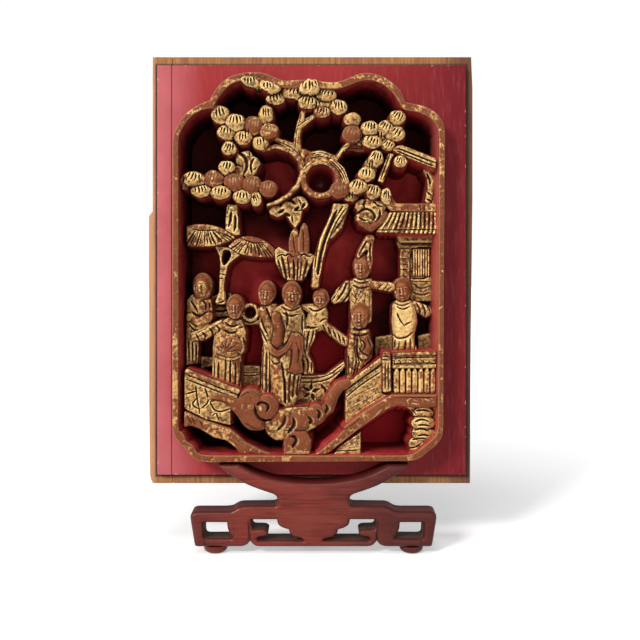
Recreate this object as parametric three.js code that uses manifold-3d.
// Carved and gilded red-lacquer panel on a hardwood fretwork stand. Millimetres, +Z up.
// The origin is on the floor below the middle of the whole object; the viewer's side is -Y.
// A panel point is (u, v, w): u to the right, v up the board from its lower edge and
// w out of the red face towards the viewer. The whole board leans back by LEAN.
import * as THREE from 'three';
import { mergeVertices } from 'three/addons/utils/BufferGeometryUtils.js';
import Module from 'manifold-3d';

const wasm = await Module();
wasm.setup();

const LEAN = THREE.MathUtils.degToRad(5);
const PANEL_BOTTOM = 47.5; // height of the board's lower edge above the floor
const BOARD_THICK = 26; // red face at w = 0, back at w = -26
const BACKING_THICK = 6.7;
const BORDER_PROUD = 18; // gilt border above the red face
const TONGUE_SET_BACK = 5; // tongue below the red face
const TONGUE_THICK = 10;
const GAP = 0.3; // clearance kept between neighbouring pieces
const STAND_MIDDLE = 1.2; // the stand stands a little right of the panel's middle
const STAND_THICK = 17.5;
const ARC_STEPS = 4; // facets in the round end of a limb
const DISC_STEPS = 12;
const CLUMP_STEPS = 10;
const EASED = 2; // bevel round the front of a collar
const CRUMB = 30; // mm3; smaller offcuts are not worth a line in the log

const gilt = () => new THREE.MeshStandardMaterial({ color: 0xb8935a, roughness: 0.45, metalness: 0.6 });
const wornGilt = () => new THREE.MeshStandardMaterial({ color: 0x8a5f42, roughness: 0.6, metalness: 0.2 });
const lacquer = () => new THREE.MeshStandardMaterial({ color: 0xa83a3c, roughness: 0.4, metalness: 0 });
const darkLacquer = () => new THREE.MeshStandardMaterial({ color: 0x4a1416, roughness: 0.6, metalness: 0 });
const hardwood = () => new THREE.MeshStandardMaterial({ color: 0x7d4436, roughness: 0.35, metalness: 0 });

// Solid from a closed three.js geometry, whichever way its faces were wound.
function solidOf(geometry) {
  geometry.deleteAttribute('normal');
  geometry.deleteAttribute('uv');
  const merged = mergeVertices(geometry, 1e-4);
  const vertProperties = merged.attributes.position.array;
  const triVerts = Uint32Array.from(merged.index.array);
  let solid = new wasm.Manifold(new wasm.Mesh({ numProp: 3, vertProperties, triVerts }));
  if (solid.volume() < 0) {
    const turned = triVerts.slice();
    for (let i = 0; i < turned.length; i += 3) {
      turned[i] = triVerts[i + 1];
      turned[i + 1] = triVerts[i];
    }
    solid = new wasm.Manifold(new wasm.Mesh({ numProp: 3, vertProperties, triVerts: turned }));
  }
  return solid;
}

// Outline moved out by a distance (in where it is negative), corner by corner.
function grown(outline, distance) {
  if (distance === 0) return outline;
  const turn = Math.sign(THREE.ShapeUtils.area(outline.map(([x, y]) => new THREE.Vector2(x, y))));
  return outline.map((point, i) => {
    const before = outline.at(i - 1);
    const after = outline[(i + 1) % outline.length];
    const a = new THREE.Vector2(point[0] - before[0], point[1] - before[1]).normalize();
    const b = new THREE.Vector2(after[0] - point[0], after[1] - point[1]).normalize();
    const normal = new THREE.Vector2(a.y + b.y, -a.x - b.x).normalize();
    const reach = (turn * distance) / Math.max(0.5, Math.abs(normal.x * a.y - normal.y * a.x));
    return [point[0] + normal.x * reach, point[1] + normal.y * reach];
  });
}

// Straight-walled block over an outline, from depth w0 to depth w1.
function prism(outline, w0, w1) {
  const shape = new THREE.Shape(outline.map(([x, y]) => new THREE.Vector2(x, y)));
  const geometry = new THREE.ExtrudeGeometry(shape, { depth: w1 - w0, bevelEnabled: false });
  geometry.translate(0, 0, w0);
  return solidOf(geometry);
}

// Body of revolution about w, made oval, turned in the board's plane and set at (u, v).
function revolved(profile, u, v, ru, rv, turn, steps) {
  const points = profile.map(([r, w]) => new THREE.Vector2(r, w));
  const geometry = new THREE.LatheGeometry(points, steps);
  geometry.rotateX(Math.PI / 2);
  geometry.scale(ru, rv, 1);
  geometry.rotateZ(THREE.MathUtils.degToRad(turn));
  geometry.translate(u, v, 0);
  return solidOf(geometry);
}

const FOOT = -BOARD_THICK; // every carved motif is rooted on the backing board

// Each builder gives a function of the growth, so the same motif can also be cut from
// its neighbours with a clearance.
const flat = (outline, front, foot = FOOT) => (growth) =>
  prism(grown(outline, growth), foot - growth, front + growth);

const dome = (u, v, ru, rv, front, turn = 0, steps = CLUMP_STEPS, rise = 3.5) => (growth) => {
  const top = front + growth;
  const shoulder = [0.72, top - rise * 0.25];
  const profile = [[0, FOOT - growth], [1, FOOT - growth], [1, top - rise], shoulder, [0, top]];
  return revolved(profile, u, v, ru + growth, rv + growth, turn, steps);
};

const head = (u, v, ru, rv, front) => (growth) => {
  const high = front + growth;
  const deep = ru * 1.1;
  const profile = [[0, FOOT - growth], [0.9, FOOT - growth], [0.96, high - deep]];
  for (const lift of [35, 65]) {
    const angle = THREE.MathUtils.degToRad(lift);
    profile.push([Math.cos(angle), high - deep * (1 - Math.sin(angle))]);
  }
  profile.push([0, high]);
  return revolved(profile, u, v, ru + growth, rv + growth, 0, DISC_STEPS);
};

// Chain of round-ended bars through [u, v, radius] points: a branch, an arm or a fold.
const limb = (points, front) => (growth) => {
  let whole = null;
  for (let i = 0; i + 1 < points.length; i++) {
    const [ua, va, ra] = points[i];
    const [ub, vb, rb] = points[i + 1];
    const along = Math.atan2(vb - va, ub - ua);
    const outline = [];
    for (let step = 0; step <= ARC_STEPS; step++) {
      const angle = along + Math.PI / 2 + (Math.PI * step) / ARC_STEPS;
      outline.push([ua + Math.cos(angle) * (ra + growth), va + Math.sin(angle) * (ra + growth)]);
    }
    for (let step = 0; step <= ARC_STEPS; step++) {
      const angle = along - Math.PI / 2 + (Math.PI * step) / ARC_STEPS;
      outline.push([ub + Math.cos(angle) * (rb + growth), vb + Math.sin(angle) * (rb + growth)]);
    }
    const bar = prism(outline, FOOT - growth, front + growth);
    whole = whole ? whole.add(bar) : bar;
  }
  return whole;
};

// Round collar with an open eye.
const collar = (u, v, inner, outer, front, steps = 16) => (growth) => {
  const low = FOOT - growth;
  const high = front + growth;
  const profile = [[inner - growth, low], [outer + growth, low], [outer + growth, high - EASED],
    [outer - EASED + growth, high], [inner - growth, high], [inner - growth, low]];
  return revolved(profile, u, v, 1, 1, 0, steps);
};

function meshOf(solid, name, material) {
  const { vertProperties, triVerts } = solid.getMesh();
  const geometry = new THREE.BufferGeometry();
  geometry.setAttribute('position', new THREE.BufferAttribute(new Float32Array(vertProperties), 3));
  geometry.setIndex(new THREE.BufferAttribute(new Uint32Array(triVerts), 1));
  geometry.computeVertexNormals();
  const mesh = new THREE.Mesh(geometry, material);
  mesh.name = name;
  return mesh;
}

// Largest of the bodies that a cut left, because each piece is one solid.
function largest(solid, name) {
  const bodies = solid.decompose().sort((a, b) => b.volume() - a.volume());
  for (const crumb of bodies.slice(1)) {
    const size = crumb.volume();
    if (size > CRUMB) console.log(`${name}: a crumb of ${size.toFixed(0)} mm3 is left out`);
  }
  return bodies[0];
}

const joined = (builders, growth) => builders.map((build) => build(growth)).reduce((a, b) => a.add(b));

const panel = new THREE.Group();
let claimed = null;

// Motifs are carved in order; each later one stops short of the earlier ones.
function carve(name, material, builders, openings = []) {
  let solid = joined(builders, 0);
  let guard = joined(builders, GAP);
  if (openings.length) {
    solid = solid.subtract(joined(openings, 0));
    guard = guard.subtract(joined(openings, -GAP));
  }
  if (claimed) solid = solid.subtract(claimed);
  claimed = claimed ? claimed.add(guard) : guard;
  panel.add(meshOf(largest(solid, name), name, material));
}

// Carved border: scalloped outer edge and its narrower inner edge.
const borderOuter = [[-101.9, 41.8], [-101.7, 257.8], [-98.5, 264.8], [-94.2, 272.1], [-88, 277.6],
    [-80, 282.3], [-74.5, 283.8], [-70.5, 291.8], [-63.2, 299.8], [-53, 303.8],
    [-34.8, 304.2], [-27, 300.5], [-20.2, 297.9], [-8.6, 299.1], [4.5, 298.3],
    [16.9, 296.5], [27.4, 300.1], [33.3, 303.1], [41.7, 304.3], [53.4, 301.3],
    [64.2, 292.5], [68.4, 282.5], [81.8, 280.1], [90.2, 275.7], [95.2, 269.9],
    [97.3, 263.4], [96, 43.2], [95.2, 37.7], [91, 31.8], [85.2, 27.6], [78.5, 21.8],
    [71.6, 20.3], [-78.6, 19.5], [-84.7, 21.4], [-89.5, 25], [-91.7, 29.7], [-98.2, 34.5]];
const borderInner = [[-97.8, 41.8], [-97.8, 256.8], [-95.3, 262.6], [-90.9, 269.5], [-85.8, 274.3],
    [-79.3, 277.6], [-72.7, 278.3], [-69.1, 285.2], [-61.1, 295.1], [-52.3, 298.7],
    [-36.3, 298.7], [-28.3, 295.4], [-20.2, 292.9], [-8.6, 293.6], [4.5, 293.2],
    [17.7, 291.8], [27.9, 295.1], [34.4, 298], [41.7, 299.1], [51.2, 296.5], [59.6, 289.6],
    [64.3, 281.6], [67.2, 276.8], [78.9, 275.4], [86.9, 271], [91.3, 265.5], [92.5, 260.4],
    [92, 44.7], [90.9, 39.6], [86.9, 35.2], [81.8, 31.6], [75.2, 26.1], [70.1, 24.6],
    [-78.6, 24.6], [-84.4, 26.5], [-86.6, 32.3], [-91.7, 34.1], [-94.2, 41.8]];
carve('carved_border', gilt(), [flat(borderOuter, BORDER_PROUD)], [flat(borderInner, BORDER_PROUD + 1)]);

// Pine boughs: each needle clump is a small domed fan.
const clumps = (list, front) => list.map(([u, v, ru, rv, lift = 0, turn = 0]) =>
  dome(u, v, ru, rv, front + lift, turn));

const PINE = 14;
carve('pine_bough_upper_left', gilt(), clumps([
  [-67.4, 274.5, 7.2, 7, 1], [-56, 268.7, 7.4, 6.4, 2], [-63.3, 261.3, 7, 5.6, 0],
  [-50.5, 256.9, 6.6, 5.6, 1], [-43.2, 266.8, 6.6, 6.6, 1], [-33.6, 274.5, 5.8, 7.2, 1],
  [-31, 262, 7, 6.2, 2], [-37.6, 253.2, 6.4, 5.4, 0], [-60.8, 249.2, 6, 5.4, 1],
  [-47.6, 260.6, 6, 6, -3]], PINE).concat([
    limb([[-66.6, 276, 3], [-62.1, 262.6, 3], [-60.7, 251.5, 3]], 8),
    limb([[-62.1, 271.5, 3], [-48.8, 267.1, 3], [-32.5, 271.5, 3]], 8),
    limb([[-53.2, 259.7, 3], [-32.5, 261.2, 3], [-38.4, 253.8, 3]], 8),
    limb([[-61.4, 262.6, 3], [-51, 258.2, 3]], 8)]));
carve('leafy_knot', gilt(), [
  dome(-47.7, 239.7, 8.4, 9.4, 13, 0, CLUMP_STEPS, 6),
  dome(-42.6, 233.8, 4.6, 5, 11),
  dome(-54.3, 242.6, 4.6, 6.6, 9)]);
carve('pine_bough_lower_left', gilt(), clumps([
  [-62.6, 235.6, 6.6, 5.2, 1], [-86.4, 227.2, 8, 5.6, 2], [-72.5, 227.6, 7.2, 6, 1],
  [-57.1, 225, 7.4, 6.4, 1], [-44.3, 223.2, 7, 6.4, 1], [-32.1, 219.9, 6.6, 6, 2],
  [-81.7, 218, 7.6, 5, 0], [-67, 216.6, 7.6, 5.4, 2], [-51.2, 213.6, 7, 5.4, 1],
  [-41, 212.2, 4.4, 6, 0], [-93.4, 225.4, 4, 6.4, -3]], PINE).concat([
    limb([[-91.8, 225.6, 3.7], [-72.5, 224.1, 4.4], [-53.2, 221.2, 4.4], [-32.5, 221.2, 3.7]], 8),
    limb([[-62.9, 236.7, 3], [-63.6, 225.6, 3.7]], 8)]));
carve('pine_bough_top', gilt(), [...clumps([
  [-45.4, 298, 8, 4.6, 1], [-31, 295.4, 7.6, 5, 2], [-26.6, 286.3, 6.4, 5, 0],
  [-14.5, 290.3, 8, 5, 1], [-3.2, 283.3, 7.2, 5.6, 1], [11.1, 288.8, 7.6, 4.8, 1],
  [7.5, 276, 6.4, 4.6, 0], [19.9, 279.7, 6.6, 6, 1], [-19.7, 293.6, 7, 3, -2],
  [-8.7, 289.2, 8, 4, -2], [4.5, 281.9, 8, 4, -2], [15.5, 282.6, 7, 4, -2]], PINE),
  flat([[-9.5, 289.1], [-8.1, 295.6], [-5.2, 297.5], [-2.7, 300.1], [0.2, 298.5], [3.5, 298.9],
    [5.6, 293.4], [4.1, 287.6], [-2, 285.4], [-7.1, 286.1]], 20.4, 10),
  limb([[-44.4, 296, 3], [-16.2, 292.3, 3.7], [13.4, 289.3, 3.7]], 8),
  limb([[-8.8, 287.8, 3.7], [7.5, 278.9, 3], [20.8, 281.9, 3]], 8)]);
carve('pine_bough_right', gilt(), clumps([
  [29.8, 270.9, 6.8, 5.6, 0], [29.5, 260.2, 7, 6.2, 2], [42.7, 264.6, 6.8, 5.6, 1],
  [54.1, 264.6, 6.2, 5.8, 1], [62.9, 272, 6.4, 5.8, 2], [61.8, 260.2, 7.4, 6, 1],
  [44.5, 254, 7.2, 5.2, 1], [55.9, 251.8, 5.6, 4.6, 0], [50, 258.4, 7, 5, -3],
  [36.8, 256.9, 6, 5, -4]], PINE).concat([
    limb([[30.4, 270.8, 3], [32.7, 261.2, 3], [46, 261.2, 3.7], [62.3, 268.6, 3.7]], 8),
    limb([[46, 256.7, 3.7], [60.8, 259.7, 3.7]], 8)]));
carve('pine_bough_inner', gilt(), clumps([
  [47.4, 242.2, 5.6, 6.2, 1], [40.1, 230.5, 6.8, 5.6, 1], [33.9, 221.3, 6.8, 5.8, 2],
  [20.3, 219.1, 7, 6, 1], [44.9, 217.7, 6, 6, 0], [54.8, 214.4, 4.4, 6.6, -1],
  [28.7, 214.4, 6, 4, -3], [43.4, 236.4, 5, 8, -3]], PINE).concat([
    limb([[47.5, 243.4, 3], [43.8, 233, 3.7], [35.6, 221.9, 3.7], [22.3, 218.9, 3]], 8),
    limb([[38.6, 221.2, 3.7], [54.1, 216, 3]], 8)]));
carve('pine_clump_by_hip', gilt(), clumps([[65.1, 239.7, 5.4, 4.8, 1]], PINE));

// Roof hips of the upper right: two slanting carved bars.
carve('roof_hip_long', gilt(), [
  flat([[60.8, 250.6], [66, 252.1], [91.6, 241.9], [91.1, 233.8], [62.3, 245.8], [58.6, 247.7]], 15)]);
carve('roof_hip_short', gilt(), [
  flat([[56.6, 246.6], [61, 245.9], [54.1, 229], [52.7, 223.6], [48.1, 225.7]], 12)]);

// Bent branches: a loop, a round collar and the hub between them.
carve('branch_loop', gilt(), [
  limb([[-35.9, 248.9, 1.9], [-26.4, 251.5, 2.1], [-16.1, 248.8, 2.4], [-8.3, 241.2, 2.5],
    [-7, 232.3, 2.2], [-10.5, 222.8, 2.1], [-17.6, 215.4, 1.9], [-25.6, 210.6, 1.8],
    [-32.3, 208.3, 1.5]], 11)]);
carve('branch_collar', gilt(), [
  collar(6.4, 228.1, 10, 15.5, 11),
  limb([[14.8, 240.4, 3.2], [21.5, 233.8, 3.5], [25.1, 225, 3.2]], 9)]);
carve('branch_hub', gilt(), [
  limb([[-6.6, 244.5, 6.2], [-0.6, 242.3, 5.6]], 9),
  limb([[-5.8, 243.7, 4.4], [-12.5, 251.1, 3.2], [-21.3, 255, 2.5], [-25.7, 256.7, 2.1]], 9),
  limb([[-11, 249.6, 3.7], [-10.7, 260.7, 2.4], [-8.3, 269.6, 2.8], [-6.6, 277, 2.2]], 9),
  limb([[-9.5, 265.9, 2.2], [-2.9, 271.5, 2.2], [3, 275.5, 1.9]], 9),
  limb([[-1.4, 244.5, 4], [6.7, 246.4, 3.5], [15.6, 243, 3.1]], 8),
  limb([[17.8, 243, 2.2], [21.9, 248.9, 1.8], [26.7, 254.4, 1.8]], 8),
  limb([[23.7, 250.4, 2.2], [29.6, 253.3, 3.7], [37.7, 251.9, 3]], 4)]);
carve('hanging_leaves', gilt(), [
  dome(-25.8, 204.1, 6, 4.4, 8),
  dome(-17.3, 206.4, 6, 5, 9),
  dome(-9.6, 210.1, 7, 5.4, 8),
  flat([[-20.7, 203.4], [-6.6, 204.9], [-8.4, 196.7], [-12.5, 191.1], [-16.7, 196.7]], 7)]);
carve('trunk_left', gilt(), [
  flat([[-62.9, 209.6], [-55, 209.6], [-54.3, 196], [-52.8, 186.6], [-57, 185.6],
    [-64.7, 190.1], [-64.1, 200.4]], 8)]);
carve('trunk_right', gilt(), [
  flat([[15.6, 210.1], [27.5, 209.3], [22.7, 198.2], [14.9, 188.1], [10.1, 175.2], [7, 161.9],
    [5, 147.1], [-0.7, 147.1], [0.8, 166.4], [5, 182.7], [13.9, 201.9]], 8),
  limb([[25.3, 207.8, 2.5], [20.8, 193, 2.2], [14.1, 185.6, 1.9]], 5)]);

// Parasol tree with two fan leaves, and the plantain beside it.
carve('parasol_leaf_left', gilt(), [
  flat([[-93.9, 193.5], [-87.2, 195.2], [-79, 195.2], [-70, 193.5], [-61.8, 189.7],
    [-56.3, 185], [-61.8, 181.5], [-70.8, 178.6], [-81.2, 177.4], [-93.6, 178.3]], 4)]);
carve('parasol_leaf_right', gilt(), [
  flat([[-63.3, 178.1], [-58.8, 183], [-52.9, 186.3], [-46.2, 186.5], [-38.7, 184.7],
    [-32.8, 181.7], [-27.2, 176.6], [-27.8, 170.1], [-37.2, 169.8], [-46.2, 170.4],
    [-55.1, 172.6]], 3)]);
carve('parasol_stem', gilt(), [
  flat([[-73.5, 178.9], [-64.5, 178.9], [-59.2, 176.7], [-53.2, 172.5], [-55.5, 170.7],
    [-60.3, 167.2], [-63, 163.9], [-64.1, 158.7], [-65.2, 154.2], [-65.9, 144.4],
    [-65.2, 135.4], [-73.1, 135.4], [-70.1, 144.4], [-69.8, 154.9], [-69.3, 163.9],
    [-69.6, 170.7]], -1),
  flat([[-79.1, 141.8], [-61.4, 144.9], [-58.4, 126.5], [-79.1, 124.9]], -14)], [
  dome(-64.5, 171.4, 2.8, 5.4, BORDER_PROUD, -10, 8)]);
carve('plantain', gilt(), [
  flat([[-17.2, 174.2], [-17.3, 183.2], [-15.8, 189.2], [-13, 192.6], [-10.4, 191.4],
    [-9.9, 174.2]], 2),
  flat([[-9.8, 172.6], [-9.7, 186], [-8.3, 193.2], [-5.9, 196.6], [-3.4, 193.5], [-2, 184.5],
    [-2.2, 172.6]], 4),
  flat([[-28.4, 175.7], [-24.7, 178.7], [-18.7, 175], [-10.4, 174.2], [-2.2, 174.2],
    [3, 171.2], [0, 165.3], [-4, 156.3], [-6.7, 152.6], [-18.7, 152.6], [-22.4, 156.3],
    [-27.6, 166.8]], 2)]);

// Figures, from the front-most to those behind. Heads are rounded, robes are slabs with
// arms and sleeves as round-ended bars.
const robe = (outline, front, sleeves) => [flat(outline, front), ...sleeves];
carve('figure_middle', wornGilt(), [
  head(-14.9, 142.1, 7.6, 10.6, 13),
  ...robe([[-30.2, 129.3], [-25.7, 133.7], [-20.6, 136], [-8.8, 135.2], [-5.4, 127.8],
    [-5.1, 114.5], [-6.1, 99.8], [-7.3, 85], [-9.5, 73.2], [-11, 62.9], [-16.1, 54.7],
    [-22.1, 59.9], [-28.7, 62.9], [-30.9, 76.2], [-31.7, 95.3], [-30.9, 111.6]], 10, [
    flat([[-25.5, 130.3], [-20.4, 130], [-17.8, 121.9], [-18.9, 113.4], [-15.3, 113.9],
    [-9.4, 114.2], [-6.5, 110.2], [-6.5, 101.4], [-7.9, 94.1], [-6.5, 85], [-12.3, 83.5],
    [-18.5, 85.5], [-16.7, 94.1], [-18.9, 97.3], [-25.5, 95.2], [-31, 99.2],
    [-30.2, 111.7]], 14.4)])]);
carve('figure_right_pavilion', gilt(), [
  head(68.1, 146.3, 7.6, 9.4, 1),
  ...robe([[60.2, 135.4], [63.9, 139.2], [74.5, 139.2], [79, 133.2], [80.2, 121.9], [77.9, 111.4],
    [79.7, 100.1], [60.9, 100.1], [60.9, 109.9], [59.7, 121.9]], -2, [
    limb([[77.7, 134.7, 3.5], [86.8, 129.7, 4.8]], -4)])]);
carve('figure_upper_right', gilt(), [
  head(38, 163.6, 7.2, 10, 5),
  flat([[32.8, 171.1], [35.5, 178.6], [41, 187.5], [47, 185.6], [45.5, 175.6], [45.9, 165.1],
    [43.3, 160.7], [33.6, 162.2]], 1),
  ...robe([[28.1, 152.6], [32.2, 155.5], [45.6, 154.8], [45.6, 138.4], [45.2, 121.9],
    [28.4, 114.4]], 2, [
    limb([[44.1, 150, 3.4], [59.1, 148.1, 3.9]], 2),
    limb([[27.1, 149.7, 4.1], [23.3, 143, 6.3], [17.3, 138.7, 3.5]], -2)])]);
carve('figure_lower_right', wornGilt(), [
  head(36.1, 126.7, 7.6, 10.4, 9),
  ...robe([[28.2, 116.7], [33.4, 118.2], [43, 116.7], [46.3, 104.1], [45.3, 95.3], [40.8, 90.8],
    [30.1, 77.5], [25.6, 79], [25.7, 99.7]], 6, [
    limb([[38.6, 113, 3.3], [41.1, 104.1, 3.7], [38.6, 96.7, 3.7]], 9)])]);
carve('figure_young', gilt(), [
  head(6.7, 139.3, 6, 7.8, 7),
  ...robe([[-8.9, 135.3], [-0.7, 136.1], [10.9, 133.8], [12.4, 128.6], [11.7, 116.7],
    [2.3, 113.7], [-8.1, 114.8], [-6.2, 121.9], [-2.9, 128.6], [-8.1, 131.6]], 5, [
    flat([[-8.1, 117], [3.3, 117.5], [2.6, 110], [-1.7, 101.9], [-2.5, 98.1], [1.2, 91.5],
    [1.8, 82.8], [-6.6, 82.5], [-5.9, 90.7], [-9.2, 99.6], [-9.3, 108.5]], 6),
    limb([[9, 119.7, 3.4], [16.4, 113.7, 3.9], [24.3, 107.5, 4]], 4)])]);
carve('figure_behind_middle', gilt(), [
  head(-33.9, 143.5, 7, 10, 5),
  ...robe([[-39.9, 132.4], [-37.4, 135.4], [-26.1, 136.1], [-23.9, 115.9], [-26.9, 101],
    [-26.9, 62.1], [-32.9, 59.1], [-38.6, 66.6], [-38.4, 84.5], [-37.7, 99.5],
    [-36.9, 107], [-39.8, 118.9]], 2, [
    limb([[-36.8, 130.1, 3.3], [-32.8, 120.4, 3.7], [-30.6, 112.9, 3.3]], 3)])]);
carve('figure_left', gilt(), [
  head(-57.4, 133.2, 6.7, 9.6, 9),
  ...robe([[-67.6, 122.7], [-63.1, 125.6], [-52.7, 124.4], [-49.3, 117.5], [-49, 105.6],
    [-52.2, 96.7], [-52.7, 70.6], [-75, 77.3], [-74.5, 104.1], [-73.1, 113.7]], 6, [
    flat([[-66.9, 124.4], [-63.9, 118.2], [-72.9, 112.5], [-79.6, 108.1], [-90.3, 107],
    [-91.5, 114], [-84, 116.7], [-75.9, 120.7]], 5),
    limb([[-52.5, 113.8, 4], [-53.2, 101.9, 3.7]], 8)])]);
carve('round_fan', wornGilt(), [dome(-59.3, 104.3, 7.4, 6.6, 12, 20, DISC_STEPS, 2.5)]);
carve('figure_far_left', gilt(), [
  head(-82.3, 148.4, 7.8, 10.8, 5),
  ...robe([[-94.2, 138.4], [-90.4, 143.1], [-75.5, 139.8], [-74, 129.4], [-75, 114.4],
    [-84.9, 107.7], [-85.5, 90.5], [-94.9, 89], [-94.9, 115.9]], 2, [
    limb([[-90.4, 125.6, 3.4], [-83.7, 121.2, 3.7], [-77, 125.9, 3.4]], 4)])]);
carve('pierced_rock', gilt(), [
  collar(-46.8, 129, 3.8, 6.3, -5, 10),
  limb([[-51.4, 121.9, 2.3], [-41.5, 121.9, 2.3]], -8)]);

// Pavilion of the right side.
const TILE_COUNT = 12;
const TILE_PITCH = 3;
const TILE_HALF = 0.9; // half the width of a rolled tile
const FIRST_TILE = 58.4;
const HIP_SPREAD = 7; // how far the first tile's foot leans out along the hip
const RIDGE_V = 202.6;
const EAVE_V = 190;
const tileRibs = [];
for (let i = 0; i < TILE_COUNT; i++) {
  const top = FIRST_TILE + i * TILE_PITCH;
  const foot = top - HIP_SPREAD * (1 - i / (TILE_COUNT - 1)) ** 2;
  tileRibs.push(flat([[foot - TILE_HALF, EAVE_V], [foot + TILE_HALF, EAVE_V],
    [top + TILE_HALF, RIDGE_V], [top - TILE_HALF, RIDGE_V]], 10));
}
carve('roof_ridge', gilt(), [
  flat([[54.9, 219.7], [58.6, 215.2], [62.3, 209.6], [91.9, 209.6], [92.2, 203.4],
    [58.6, 204.1], [53.4, 209.3], [51.9, 215.2]], 9)]);
carve('roof_ornament', wornGilt(), [
  dome(42.9, 203.1, 13.4, 12.4, 10, 0, DISC_STEPS, 3),
  flat([[31.1, 207.6], [35.5, 212.7], [50.3, 212], [54.7, 207.6], [53.2, 195.8], [45.9, 190.6],
    [37, 194.3]], 6)]);
carve('roof_tiles', gilt(), [
  flat([[57.1, 203.4], [92.7, 203.4], [93.1, 190.1], [91.9, 186.8], [47.5, 188.3],
    [51.2, 193.8]], 8),
  ...tileRibs]);
carve('pavilion_wall', gilt(), [
  flat([[63.7, 187.5], [94.5, 187.5], [93.3, 137.8], [75.1, 137.8], [75.1, 139.3],
    [66.8, 139.3], [66.3, 176.6], [64.5, 181.1]], -9),
  flat([[66, 186.4], [94.1, 186.4], [94.1, 181.9], [66.8, 181.9]], -6),
  flat([[66.8, 177.3], [74, 177.3], [74, 140.1], [66.8, 140.1]], -7)], [
  flat([[75.6, 178.1], [90.7, 178.1], [90.7, 156.1], [75.6, 156.1]], 0, -16)]);
const WINDOW_BARS = 5;
const FIRST_BAR = 77.6;
const BAR_PITCH = 2.8;
const BAR_HALF = 0.6;
const windowSpan = { left: 76.2, right: 90.1, low: 156.9, high: 177.2 };
const LATTICE_BACK = -15;
const bar = (left, low, right, high, front) => flat(
  [[left, low], [right, low], [right, high], [left, high]], front, LATTICE_BACK);
const windowBars = [];
for (let i = 0; i < WINDOW_BARS; i++) {
  const u = FIRST_BAR + i * BAR_PITCH;
  windowBars.push(bar(u - BAR_HALF, windowSpan.low, u + BAR_HALF, windowSpan.high, -9));
}
for (const v of [157.7, 161.6, 176.4]) {
  windowBars.push(bar(windowSpan.left, v - BAR_HALF, windowSpan.right, v + BAR_HALF, -9.5));
}
carve('lattice_window', wornGilt(), [
  flat([[76, 177.6], [90.3, 177.6], [90.3, 156.5], [76, 156.5]], -12, LATTICE_BACK - 0.6),
  ...windowBars]);

// Lower scene: balustrade, stair, cloud scroll, pot, parapet and beam.
carve('newel_post', gilt(), [
  flat([[51.2, 99.2], [53, 101], [58.1, 100.2], [58.5, 70.1], [51.9, 70.1]], 14)]);
const BALUSTERS = 7;
const FIRST_BALUSTER = 62.5;
const BALUSTER_PITCH = 4.5;
const balusterLine = [[70.8, 1.6], [79.6, 1.95], [87.6, 1.6]]; // [height on the board, radius]
const balusters = [];
for (let i = 0; i < BALUSTERS; i++) {
  const u = FIRST_BALUSTER + i * BALUSTER_PITCH;
  balusters.push(limb(balusterLine.map(([v, radius]) => [u, v, radius]), 12));
}
carve('balustrade', gilt(), [
  flat([[59.1, 99.6], [74.2, 100.2], [91.5, 101], [91.5, 87.9], [59.1, 87.9]], 14),
  flat([[59.1, 89.7], [91.5, 89.7], [91.5, 69.6], [59.1, 69.6]], 8),
  ...balusters]);
carve('stair_string', wornGilt(), [
  flat([[58, 68.5], [92.1, 68.5], [92.1, 60], [73.4, 59.7], [62.4, 60.7], [56.5, 58.7],
    [47, 52.6], [36, 44.6], [21.4, 33.3], [13.3, 26.7], [10.4, 24.7], [2.3, 24.7],
    [7.5, 28.5], [17.7, 37], [22.8, 42.4], [24.3, 45.8], [36.8, 55.3]], 15)]);
carve('stair_parapet', gilt(), [
  flat([[24.5, 72.5], [29.6, 79.1], [51.8, 95.3], [51.8, 68.8], [57.7, 67.7], [24.5, 45.9]], 9),
  limb([[27.3, 77.8, 1.8], [50.2, 94.3, 1.9]], 12)]);
carve('rayed_wedge', gilt(), [
  flat([[14.8, 24.2], [23.7, 32.9], [36.2, 41.4], [36.2, 24.2]], 11)]);
carve('rocks_right', gilt(), [
  dome(82.5, 54.2, 7.6, 5, 12),
  dome(81.8, 47.2, 9, 5.4, 14),
  dome(81.8, 39.5, 8.6, 5.4, 13),
  dome(77.4, 32.1, 6.6, 5, 11),
  flat([[67.8, 59.4], [92.5, 59.4], [91.8, 39.5], [87, 34.4], [75.2, 26.3], [71.5, 26.3],
    [75.9, 35.1], [74.4, 45.4], [75.9, 51.3], [73, 56.4]], 8)]);
carve('cloud_scroll', wornGilt(), [
  flat([[-78.5, 65.2], [-73.1, 68.5], [-65.8, 69.6], [-59.2, 67.7], [-54.1, 65.2],
    [-52.2, 70.7], [-46.7, 73.2], [-40.9, 72.1], [-36.5, 67.7], [-33.6, 58.9],
    [-36.5, 50.9], [-33.8, 43.6], [-38.7, 41.7], [-46, 42.4], [-50.7, 46.1], [-54.8, 52.6],
    [-59.9, 58.7], [-66.5, 62.6], [-73.8, 64.1]], 15.6),
  dome(-33.2, 59.2, 8.4, 9.4, 17, 0, DISC_STEPS, 2),
  flat([[-37.3, 47.1], [-29.2, 51.5], [-24.1, 57.4], [-16, 59.6], [6, 60.3], [10.4, 55.9],
    [3.1, 44.2], [-3.2, 40.9], [-0.6, 36.8], [-0.3, 32.4], [-2.1, 24.5], [-21.1, 24.5],
    [-20.4, 34.6], [-26.6, 34.3], [-32.1, 37.9]], 13),
  dome(-22.6, 48.7, 8.6, 8.6, 15),
  dome(-8.6, 50.2, 9, 9, 15),
  dome(2.8, 53.8, 7.6, 7.6, 15.6),
  limb([[6, 53.7, 5.1], [11.9, 58.8, 4.7], [15.5, 67.6, 4], [19.9, 74, 3.8], [26.2, 76.9, 3.2]], 14)]);
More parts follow.
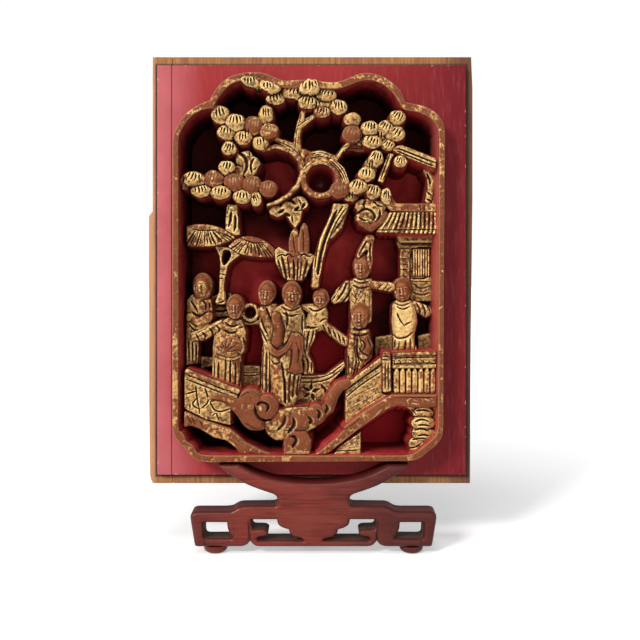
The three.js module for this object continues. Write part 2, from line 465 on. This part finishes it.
carve('flower_pot', gilt(), [
  flat([[-14.3, 79.8], [-9.8, 82.3], [9.8, 82.3], [24.1, 92.9], [26, 88.8], [14.3, 75.2],
    [12.8, 66.2], [4.5, 57.9], [-9, 57.9], [-15.1, 66.2]], -2)]);
carve('parapet_left', gilt(), [
  flat([[-94.1, 86.6], [-53.6, 70.7], [-55.1, 65.3], [-59.5, 57.9], [-59.6, 45.5],
    [-78.6, 50.2], [-94.1, 57.9]], 12),
  limb([[-91.1, 86, 2.1], [-54.4, 71.4, 2.1]], 15.4)]);
carve('lower_beam', gilt(), [
  flat([[-94.1, 56.6], [-82, 50.8], [-60, 43.4], [-48.3, 33.2], [-38, 28], [-29.2, 24.5],
    [-52.7, 24.5], [-55.6, 28.8], [-63, 34.6], [-72.5, 36.8], [-82, 43], [-89.4, 45.6],
    [-94.1, 44.2]], 13)]);

// Low garden stones between the figures, and a strip of rock down the right wall.
carve('stone_far_left', gilt(), [flat([[-85.4, 96], [-75.5, 95.2], [-75.5, 88.4], [-85.4, 85.3]], -12)]);
carve('stone_left', gilt(), [
  flat([[-56.5, 87.6], [-49.6, 89.4], [-39.2, 88.4], [-39.2, 73.1], [-47.3, 71.6],
    [-56.5, 71.6]], -10)]);
carve('stone_right', gilt(), [
  flat([[47.9, 110.5], [61.6, 112.7], [61.6, 99], [51.7, 99], [47.9, 92.9]], -12)]);
carve('stone_far_right', gilt(), [flat([[80.6, 112], [94.4, 114.3], [94.4, 100.5], [80.6, 100.5]], -12)]);
carve('rock_strip', gilt(), [
  collar(88, 227.7, 3, 6.7, 2, 10),
  flat([[84.3, 221.8], [93.2, 223.3], [93.2, 210.6], [85.7, 210.6]], 2)]);

// Boards: the tongue all round is thinner than the block and set back from the red face.
const redFace = [[-116.2, 314.6], [115.5, 314.6], [115.5, 7.2], [-116.2, 7.2]];
const tongueEdge = [[-120.5, 322.2], [120.3, 322.2], [121.3, 298.8], [121.3, 214.1], [120.1, 115.8],
    [119.4, 0], [-120.5, 0], [-122.5, 5.5], [-123.3, 62.9], [-123.3, 202], [-120.5, 205.8]];
const SEAM = -105.2; // glue seam between the two planks
const PAST_THE_BOARD = 400; // longer than the board, for the block that parts the planks
const blockBuilders = [
  flat(redFace, 0, -BOARD_THICK),
  flat(tongueEdge, -TONGUE_SET_BACK, -TONGUE_SET_BACK - TONGUE_THICK)];
const leftOfSeam = [[-PAST_THE_BOARD, -PAST_THE_BOARD], [SEAM, -PAST_THE_BOARD], [SEAM, PAST_THE_BOARD],
  [-PAST_THE_BOARD, PAST_THE_BOARD]];
const opening = flat(borderOuter, BORDER_PROUD)(GAP);
const block = joined(blockBuilders, 0).subtract(opening).subtract(claimed);
const half = prism(leftOfSeam, -2 * BOARD_THICK, 2 * BOARD_THICK);
const halfGuard = prism(grown(leftOfSeam, GAP), -2 * BOARD_THICK, 2 * BOARD_THICK);
panel.add(meshOf(largest(block.intersect(half), 'left_plank'), 'left_plank', lacquer()));
panel.add(meshOf(largest(block.subtract(halfGuard), 'main_board'), 'main_board', lacquer()));
const backingTop = -BOARD_THICK - GAP;
panel.add(meshOf(
  prism(grown(redFace, -2), backingTop - BACKING_THICK, backingTop), 'backing_board', darkLacquer()));
panel.rotation.x = Math.PI / 2 - LEAN;
panel.position.z = PANEL_BOTTOM;

// Stand front: one board sawn to two crescent arms over a pierced base. Half outlines are
// [distance from the stand's middle, height above the floor].
const armsAndBase = [
  [0, 52.8], [12.5, 53.3], [24.6, 54.8], [34.8, 57.4], [43, 60.4], [50, 64], [54.5, 66.2],
  [70, 66.2], [59, 58], [48, 51.6], [40, 48.4], [33.4, 46.2], [28.6, 44.6], [26.4, 42.4],
  [26.2, 38.4], [28, 36], [54, 35.6], [57, 34.2], [60, 32.2], [64, 31.6], [87, 31.6],
  [89.8, 30.4], [90.5, 27.5], [87.4, 6.2], [86.4, 5.4], [52, 5.4], [48.8, 6.8], [46.6, 9.6],
  [44.4, 6.8], [41.6, 5.4]];
const cornerWindow = [
  [80.8, 23.6], [63.5, 23.6], [63, 18], [60.6, 14], [59.6, 11.6], [79, 11.4], [80.8, 13]];
const apronWindow = [[45.5, 25.8], [26.8, 25.8], [24, 21.8], [19.4, 19.2], [16.5, 15.2], [7, 12],
  [7, 10], [40, 10], [41.6, 11.2], [40, 12.8], [34.5, 13.2], [32.8, 16], [35, 18.4], [45.5, 18.6]];
const mirrored = (outline) => outline.map(([x, z]) => [-x, z]).reverse();
const stand = new THREE.Group();
const standOutline = [...armsAndBase, ...mirrored(armsAndBase).slice(0, -1)];
const boardBack = 0.5; // clear of the spine behind it
let front = prism(standOutline, boardBack, boardBack + STAND_THICK);
for (const opening of [cornerWindow, apronWindow]) {
  front = front.subtract(prism(opening, 0, 2 * STAND_THICK));
  front = front.subtract(prism(mirrored(opening), 0, 2 * STAND_THICK));
}
const frontMesh = meshOf(front, 'stand_front', hardwood());
frontMesh.rotation.x = Math.PI / 2;
stand.add(frontMesh);

// Bun feet, turned.
const bunProfile = [[0, 0], [6.4, 0], [8, 1.2], [8.8, 3], [8.4, 5.1], [0, 5.1]];
const BUN_STEPS = 20;
const bun = new THREE.LatheGeometry(bunProfile.map(([r, z]) => new THREE.Vector2(r, z)), BUN_STEPS);
bun.rotateX(Math.PI / 2);
const footSolid = solidOf(bun);
const FOOT_SPREAD = 72.6;
const FOOT_Y = -9.2;
const REAR_FOOT_Y = 84;
const footPlaces = [['front_foot_left', -FOOT_SPREAD, FOOT_Y], ['front_foot_right', FOOT_SPREAD, FOOT_Y],
  ['rear_foot', 0, REAR_FOOT_Y]];
for (const [name, x, y] of footPlaces) {
  const foot = meshOf(footSolid, name, hardwood());
  foot.position.set(x, y, 0);
  stand.add(foot);
}

// Spine: low beam from the front board back to the rear foot, its top cut to the lean.
const spineSide = [[0, 5.4], [93, 5.4], [95, 8], [94, 12.6], [80, 20.6], [62, 27.4], [45, 32.8], [0, 36.7]];
const SPINE_HALF = 8;
const spine = meshOf(prism(spineSide, -SPINE_HALF, SPINE_HALF), 'stand_spine', hardwood());
const toSide = new THREE.Matrix4().makeBasis(
  new THREE.Vector3(0, 1, 0), new THREE.Vector3(0, 0, 1), new THREE.Vector3(1, 0, 0));
spine.setRotationFromMatrix(toSide);
stand.add(spine);

// Ledge and back rest, square to the leaning panel.
const LEDGE_HALF = 24;
const LEDGE_LOW = -9.7; // under side of the ledge, below the board's lower edge
const ledgeDepth = { back: -33.4, front: -1.6 };
const restDepth = { back: -43.4, front: -33.7 };
const rest = new THREE.Group();
rest.rotation.x = Math.PI / 2 - LEAN;
rest.position.z = PANEL_BOTTOM;
rest.add(meshOf(
  prism([[-LEDGE_HALF, LEDGE_LOW], [LEDGE_HALF, LEDGE_LOW], [LEDGE_HALF, -GAP], [-LEDGE_HALF, -GAP]],
    ledgeDepth.back, ledgeDepth.front), 'stand_ledge', hardwood()));
const restOutline = [[-LEDGE_HALF, LEDGE_LOW], [LEDGE_HALF, LEDGE_LOW], [LEDGE_HALF, 34], [17, 46], [8, 53],
  [0, 55], [-8, 53], [-17, 46], [-LEDGE_HALF, 34]];
rest.add(meshOf(prism(restOutline, restDepth.back, restDepth.front), 'stand_backrest', hardwood()));
stand.add(rest);
stand.position.x = STAND_MIDDLE;

const part = new THREE.Group();
part.add(stand);
part.add(panel);
const box = new THREE.Box3().setFromObject(part, true);
part.position.set(-(box.min.x + box.max.x) / 2, -(box.min.y + box.max.y) / 2, -box.min.z);

export default part;
